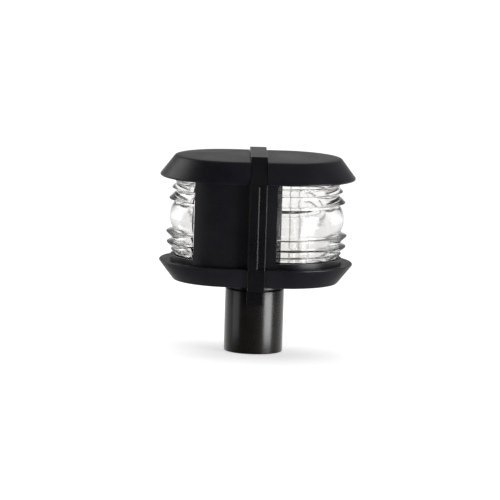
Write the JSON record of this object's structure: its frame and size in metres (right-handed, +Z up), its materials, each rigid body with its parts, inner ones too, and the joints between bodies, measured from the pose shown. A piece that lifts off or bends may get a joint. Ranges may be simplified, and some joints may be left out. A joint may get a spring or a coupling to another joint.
{
  "type": "navigation light",
  "caption": "Pole-top navigation light: a wide-arc masthead lamp and a narrow-arc stern lamp back to back on a centre plate, with ribbed clear lenses and a pole socket.",
  "frame": {"origin": "centre of the open mouth of the pole socket's bore, at the bottom of the light", "axes": "+Z up along the pole socket, +X from the centre plate towards the middle of the masthead lamp's light sector, +Y along the centre plate towards the lock screw"},
  "size_m": [0.0996, 0.0776, 0.1021],
  "materials": {
    "black_plastic": "black moulded plastic with a fine grain, satin to glossy",
    "pole_black": "black coated tube, semi-gloss",
    "screw_steel": "stainless steel, machined",
    "rubber": "matt black rubber",
    "terminal_plastic": "cream moulded plastic",
    "clear_lens": "clear polished plastic with stepped prism rings",
    "holder_plastic": "white moulded plastic",
    "contact_brass": "sprung brass sheet",
    "bulb_glass": "clear glass",
    "bulb_metal": "nickel-plated caps",
    "filament_wire": "coiled tungsten wire",
    "lead_wire": "red insulated wire"
  },
  "bodies": {
    "bracket": {"centre_plate": "black_plastic", "pole_socket": "pole_black", "pole_screws": "screw_steel", "cable_grommet": "rubber", "terminal_block": "terminal_plastic", "mount_screws": "screw_steel", "cap_screws": "screw_steel", "masthead_base": "black_plastic", "masthead_lower_gasket": "rubber", "masthead_back_gasket": "rubber", "masthead_bulb_holder": "holder_plastic", "masthead_upper_contact": "contact_brass", "masthead_lower_contact": "contact_brass", "masthead_leads": "lead_wire", "stern_base": "black_plastic", "stern_lower_gasket": "rubber", "stern_back_gasket": "rubber", "stern_bulb_holder": "holder_plastic", "stern_upper_contact": "contact_brass", "stern_lower_contact": "contact_brass", "stern_leads": "lead_wire"},
    "masthead_cover": {"masthead_cap": "black_plastic", "masthead_lens": "clear_lens", "masthead_upper_gasket": "rubber"},
    "masthead_bulb": {"masthead_bulb_glass": "bulb_glass", "masthead_bulb_caps": "bulb_metal", "masthead_filament": "filament_wire"},
    "stern_cover": {"stern_cap": "black_plastic", "stern_lens": "clear_lens", "stern_upper_gasket": "rubber"},
    "stern_bulb": {"stern_bulb_glass": "bulb_glass", "stern_bulb_caps": "bulb_metal", "stern_filament": "filament_wire"},
    "lock_screw": {"pole_lock_screw": "screw_steel"}
  },
  "joints": [
    {"name": "masthead_cover_lift", "type": "slide", "parent": "bracket", "child": "masthead_cover", "axis": [0, 0, 1], "range_m": [0, 0.06]},
    {"name": "stern_cover_lift", "type": "slide", "parent": "bracket", "child": "stern_cover", "axis": [0, 0, 1], "range_m": [0, 0.06]},
    {"name": "masthead_bulb_pull", "type": "slide", "parent": "bracket", "child": "masthead_bulb", "axis": [1, 0, 0], "range_m": [0, 0.008]},
    {"name": "stern_bulb_pull", "type": "slide", "parent": "bracket", "child": "stern_bulb", "axis": [-1, 0, 0], "range_m": [0, 0.008]},
    {"name": "lock_screw_turn", "type": "hinge", "parent": "bracket", "child": "lock_screw", "pos_m": [0, 0.015, 0.011], "axis": [0, 1, 0], "continuous": true}
  ]
}
